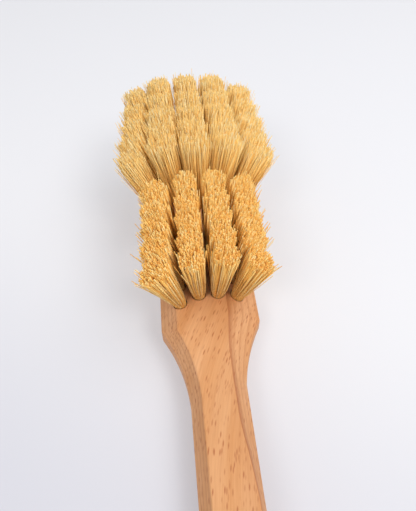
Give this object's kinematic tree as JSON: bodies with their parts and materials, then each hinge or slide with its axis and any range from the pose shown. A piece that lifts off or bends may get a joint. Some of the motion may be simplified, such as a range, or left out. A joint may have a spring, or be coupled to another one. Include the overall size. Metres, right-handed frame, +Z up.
{
  "type": "long-handled scrub brush",
  "caption": "Wooden scrub brush with a long straight handle in one piece with its head, and flared tufts of natural fibre in two fields on the head's top face.",
  "frame": {"origin": "on the flat back of the head, under the middle of the tuft row nearest the handle", "axes": "+Y from the handle to the front of the head, +X to the right, +Z up out of the bristled face"},
  "size_m": [0.0828, 0.4156, 0.0714],
  "materials": {
    "beech": "sanded and lightly oiled",
    "fibre": "raw pale plant fibre",
    "wire": "flat drawn wire"
  },
  "bodies": {
    "root": {"beech_body": "beech", "front_anchor_r1_c1": "wire", "front_anchor_r1_c2": "wire", "front_anchor_r1_c3": "wire", "front_anchor_r1_c4": "wire", "front_anchor_r1_c5": "wire", "front_anchor_r2_c1": "wire", "front_anchor_r2_c2": "wire", "front_anchor_r2_c3": "wire", "front_anchor_r2_c4": "wire", "front_anchor_r2_c5": "wire", "front_anchor_r3_c1": "wire", "front_anchor_r3_c2": "wire", "front_anchor_r3_c3": "wire", "front_anchor_r3_c4": "wire", "front_anchor_r3_c5": "wire", "front_anchor_r4_c1": "wire", "front_anchor_r4_c2": "wire", "front_anchor_r4_c3": "wire", "front_anchor_r4_c4": "wire", "front_anchor_r4_c5": "wire", "front_anchor_r5_c1": "wire", "front_anchor_r5_c2": "wire", "front_anchor_r5_c3": "wire", "front_anchor_r5_c4": "wire", "front_anchor_r5_c5": "wire", "front_bristles": "fibre", "rear_anchor_r1_c1": "wire", "rear_anchor_r1_c2": "wire", "rear_anchor_r1_c3": "wire", "rear_anchor_r1_c4": "wire", "rear_anchor_r2_c1": "wire", "rear_anchor_r2_c2": "wire", "rear_anchor_r2_c3": "wire", "rear_anchor_r2_c4": "wire", "rear_anchor_r3_c1": "wire", "rear_anchor_r3_c2": "wire", "rear_anchor_r3_c3": "wire", "rear_anchor_r3_c4": "wire", "rear_anchor_r4_c1": "wire", "rear_anchor_r4_c2": "wire", "rear_anchor_r4_c3": "wire", "rear_anchor_r4_c4": "wire", "rear_anchor_r5_c1": "wire", "rear_anchor_r5_c2": "wire", "rear_anchor_r5_c3": "wire", "rear_anchor_r5_c4": "wire", "rear_bristles": "fibre"}
  },
  "joints": []
}
